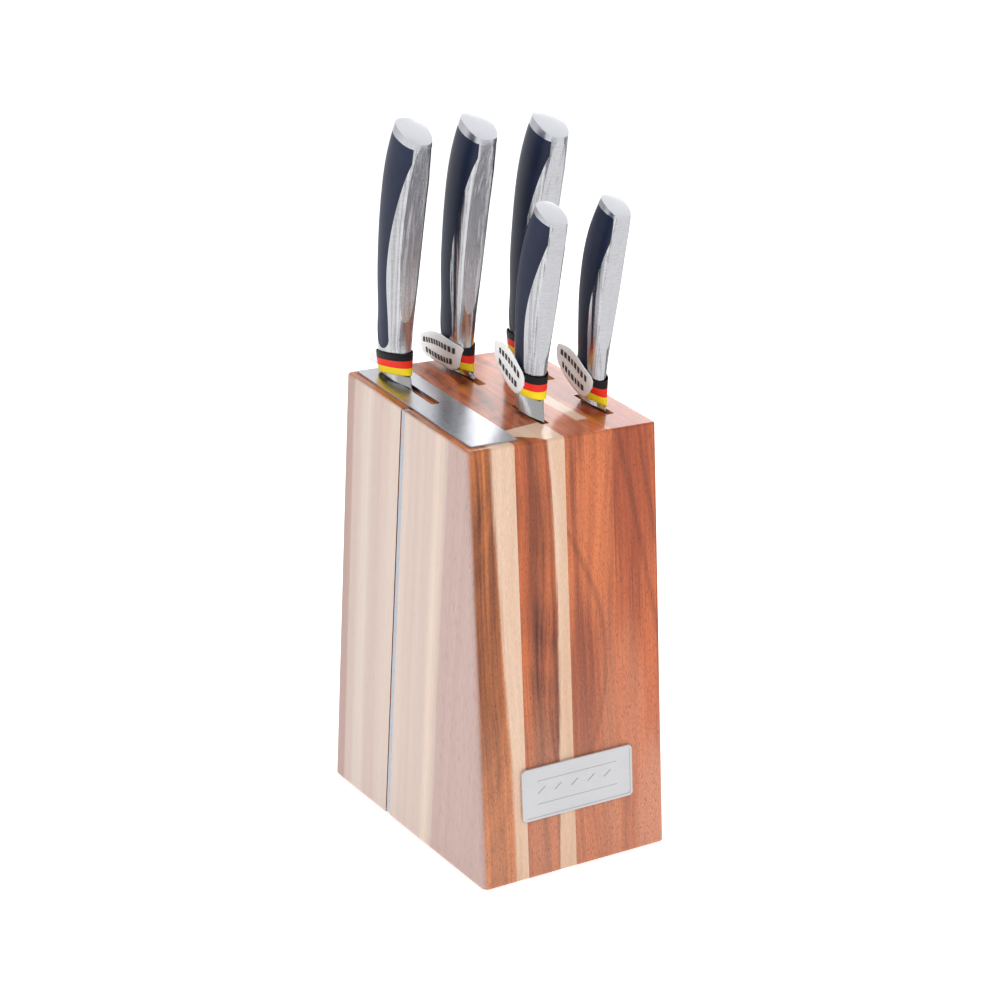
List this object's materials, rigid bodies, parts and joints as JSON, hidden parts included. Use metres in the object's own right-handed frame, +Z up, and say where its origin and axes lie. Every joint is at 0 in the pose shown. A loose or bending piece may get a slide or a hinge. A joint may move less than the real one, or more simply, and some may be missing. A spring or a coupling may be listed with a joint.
{
  "type": "knife block with knives",
  "caption": "Laminated wooden knife block with steel-handled kitchen knives standing in slots in its sloping top, steel trim and a steel plaque on the front.",
  "frame": {"origin": "centre of the block's footprint rectangle, on the surface that the feet stand on", "axes": "+Z up, +X to the object's right, -Y to the front face with the plaque"},
  "size_m": [0.1, 0.151, 0.3386],
  "materials": {
    "wood_lacquered": "gloss lacquer over mixed light and dark staves",
    "steel_brushed": "lengthwise brushed, semi-gloss",
    "steel_handle": "fine brushed, nearly polished",
    "steel_cap": "polished",
    "steel_blade": "polished bolster, satin blade",
    "inlay_navy": "satin",
    "paper_tag": "coated card, striped band and plain label",
    "rubber_foot": "matte"
  },
  "bodies": {
    "block": {"stave_1": "wood_lacquered", "stave_2": "wood_lacquered", "stave_3": "wood_lacquered", "stave_4": "wood_lacquered", "stave_5": "wood_lacquered", "stave_6": "wood_lacquered", "top_plate": "steel_brushed", "side_strip": "steel_brushed", "name_plate": "steel_brushed", "foot_front_left": "rubber_foot", "foot_rear_left": "rubber_foot", "foot_front_right": "rubber_foot", "foot_rear_right": "rubber_foot"},
    "chef_knife": {"chef_blade": "steel_blade", "chef_handle": "steel_handle", "chef_butt_cap": "steel_cap", "chef_inlay_left": "inlay_navy", "chef_inlay_right": "inlay_navy", "chef_tag": "paper_tag"},
    "carving_knife": {"carving_blade": "steel_blade", "carving_handle": "steel_handle", "carving_butt_cap": "steel_cap", "carving_inlay_left": "inlay_navy", "carving_inlay_right": "inlay_navy", "carving_tag": "paper_tag"},
    "bread_knife": {"bread_blade": "steel_blade", "bread_handle": "steel_handle", "bread_butt_cap": "steel_cap", "bread_inlay_left": "inlay_navy", "bread_inlay_right": "inlay_navy", "bread_tag": "paper_tag"},
    "utility_knife": {"utility_blade": "steel_blade", "utility_handle": "steel_handle", "utility_butt_cap": "steel_cap", "utility_inlay_left": "inlay_navy", "utility_inlay_right": "inlay_navy", "utility_tag": "paper_tag"},
    "paring_knife": {"paring_blade": "steel_blade", "paring_handle": "steel_handle", "paring_butt_cap": "steel_cap", "paring_inlay_left": "inlay_navy", "paring_inlay_right": "inlay_navy", "paring_tag": "paper_tag"}
  },
  "joints": [
    {"name": "chef_draw", "type": "slide", "parent": "block", "child": "chef_knife", "axis": [0, -0.1045, 0.9945], "range_m": [0, 0.215]},
    {"name": "carving_draw", "type": "slide", "parent": "block", "child": "carving_knife", "axis": [0, -0.1045, 0.9945], "range_m": [0, 0.21]},
    {"name": "bread_draw", "type": "slide", "parent": "block", "child": "bread_knife", "axis": [0, -0.1045, 0.9945], "range_m": [0, 0.21]},
    {"name": "utility_draw", "type": "slide", "parent": "block", "child": "utility_knife", "axis": [0, -0.1045, 0.9945], "range_m": [0, 0.135]},
    {"name": "paring_draw", "type": "slide", "parent": "block", "child": "paring_knife", "axis": [0, -0.1045, 0.9945], "range_m": [0, 0.1]}
  ]
}
